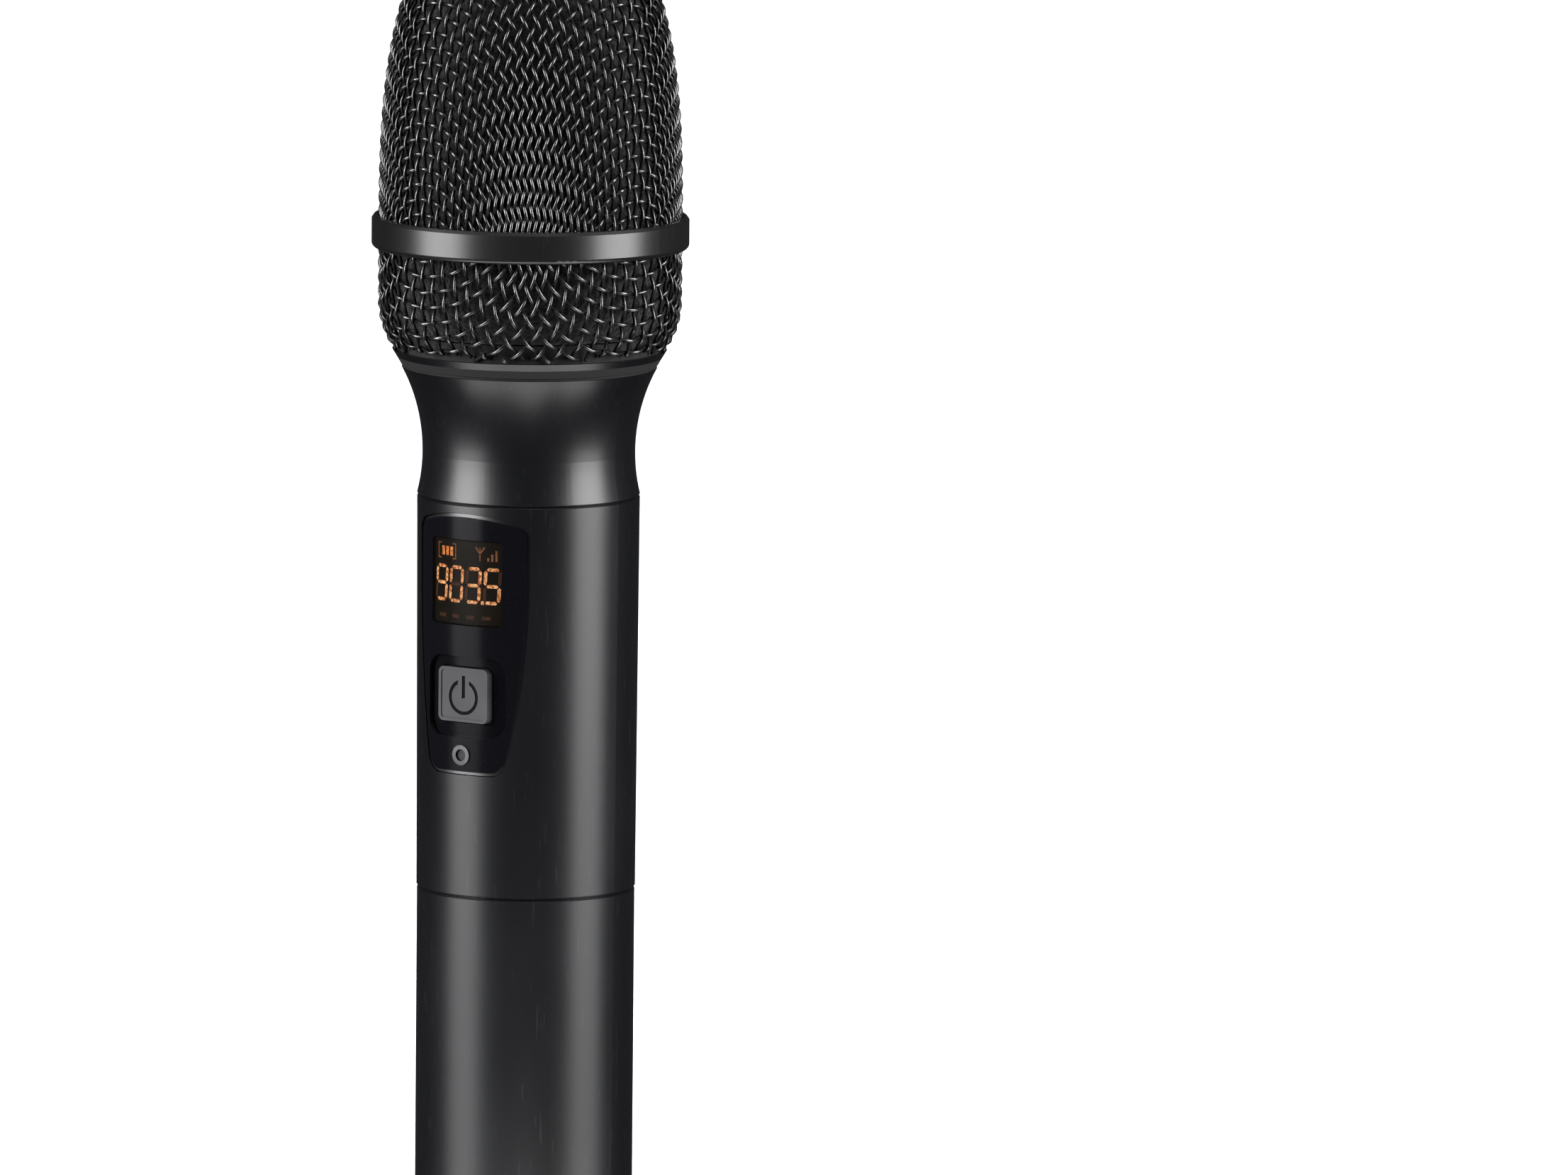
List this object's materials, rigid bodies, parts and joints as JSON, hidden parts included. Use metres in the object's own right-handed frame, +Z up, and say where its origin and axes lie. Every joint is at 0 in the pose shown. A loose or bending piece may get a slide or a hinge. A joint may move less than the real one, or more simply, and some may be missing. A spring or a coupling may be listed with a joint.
{
  "type": "karaoke microphone",
  "caption": "Wireless handheld microphone: woven grille with a band ring, flared neck, round handle with a display panel and power key, and an unscrewing battery sleeve.",
  "frame": {"origin": "centre of the end cap's flat underside", "axes": "+Z up along the handle, towards the grille; the control panel faces -Y"},
  "size_m": [0.053, 0.053, 0.2603],
  "materials": {
    "satin_shell": "satin dark graphite paint",
    "woven_steel": "black painted woven steel wire",
    "band_paint": "satin-gloss black paint",
    "gloss_panel": "gloss black",
    "smoked_window": "smoked, polished",
    "display_body": "dark display block",
    "key_plastic": "mid grey, fine texture",
    "chrome": "polished",
    "dark_plastic": "moulded, matte",
    "board_green": "solder mask",
    "tin_steel": "tinned steel",
    "chip_epoxy": "moulded epoxy",
    "capacitor_sleeve": "shrink sleeve",
    "zinc_screw": "zinc plated",
    "abs_frame": "black moulded plastic",
    "cell_sleeve": "printed battery sleeve",
    "nickel": "nickel plated",
    "wire_red": "wire insulation",
    "wire_grey": "wire insulation",
    "brass": "turned",
    "black_rubber": "soft rubber",
    "capsule_alloy": "turned alloy",
    "magnet": "nickel plated magnet",
    "diaphragm_film": "thin clear film",
    "copper": "enamelled copper winding",
    "thread_alloy": "machined alloy",
    "pop_foam": "open-cell foam"
  },
  "bodies": {
    "sleeve": {"battery_sleeve": "satin_shell", "end_cap": "dark_plastic"},
    "grommet": {"antenna_grommet": "black_rubber"},
    "seal": {"coupler_seal": "black_rubber"},
    "handset": {"upper_tube": "satin_shell", "neck_shell": "satin_shell", "neck_thread_ring": "thread_alloy", "sleeve_coupler": "thread_alloy", "control_panel": "gloss_panel", "display_lens": "smoked_window", "display_module": "display_body", "display_pins": "tin_steel", "indicator_ring": "chrome", "indicator_light_pipe": "dark_plastic", "indicator_led": "display_body", "main_board": "board_green", "power_switch": "chip_epoxy", "rf_shield": "tin_steel", "board_chips": "chip_epoxy", "board_capacitors": "capacitor_sleeve", "board_screws": "zinc_screw", "chassis_frame": "abs_frame", "battery_tray": "abs_frame", "battery_cell_left": "cell_sleeve", "battery_cell_right": "cell_sleeve", "battery_springs": "nickel", "contact_plates": "nickel", "battery_leads": "wire_red", "antenna_rod": "brass", "antenna_lead": "wire_grey", "shock_mount": "black_rubber", "capsule_housing": "capsule_alloy", "capsule_yoke": "tin_steel", "capsule_magnet": "magnet", "capsule_pole": "tin_steel", "capsule_cap": "capsule_alloy", "capsule_terminals": "board_green", "capsule_leads": "wire_grey"},
    "key": {"power_button": "key_plastic"},
    "moving_coil": {"diaphragm": "diaphragm_film", "voice_coil": "copper"},
    "gasket": {"grille_gasket": "black_rubber"},
    "foam": {"foam_liner": "pop_foam"},
    "grille": {"grille_mesh_upper": "woven_steel", "grille_band": "band_paint", "grille_mesh_lower": "woven_steel", "grille_collar": "satin_shell"}
  },
  "joints": [
    {"name": "sleeve_pull", "type": "slide", "parent": "sleeve", "child": "grommet", "axis": [0, 0, 1], "range_m": [0, 0.085]},
    {"name": "sleeve_thread", "type": "slide", "parent": "grommet", "child": "seal", "axis": [0, 0, 1], "range_m": [-0.00001, 0.00601]},
    {"name": "sleeve_turn", "type": "hinge", "parent": "seal", "child": "handset", "pos_m": [0, 0, 0.1], "axis": [0, 0, 1], "range_deg": [0, 1440]},
    {"name": "grille_lift", "type": "slide", "parent": "handset", "child": "gasket", "axis": [0, 0, 1], "range_m": [0, 0.06]},
    {"name": "grille_thread", "type": "slide", "parent": "gasket", "child": "foam", "axis": [0, 0, 1], "range_m": [-0.00001, 0.00451]},
    {"name": "grille_turn", "type": "hinge", "parent": "foam", "child": "grille", "pos_m": [0, 0, 0.1], "axis": [0, 0, 1], "range_deg": [0, 1080]},
    {"name": "key_press", "type": "slide", "parent": "handset", "child": "key", "axis": [0, 1, 0], "range_m": [0, 0.0005], "stiffness_N_per_m": 600},
    {"name": "diaphragm_travel", "type": "slide", "parent": "handset", "child": "moving_coil", "axis": [0, 0, 1], "range_m": [-0.0003, 0.0003], "stiffness_N_per_m": 900}
  ],
  "couplings": [
    {"joint": "sleeve_thread", "follows": "sleeve_turn", "m_per_rad": 0.00023873},
    {"joint": "grille_thread", "follows": "grille_turn", "m_per_rad": 0.00023873}
  ]
}
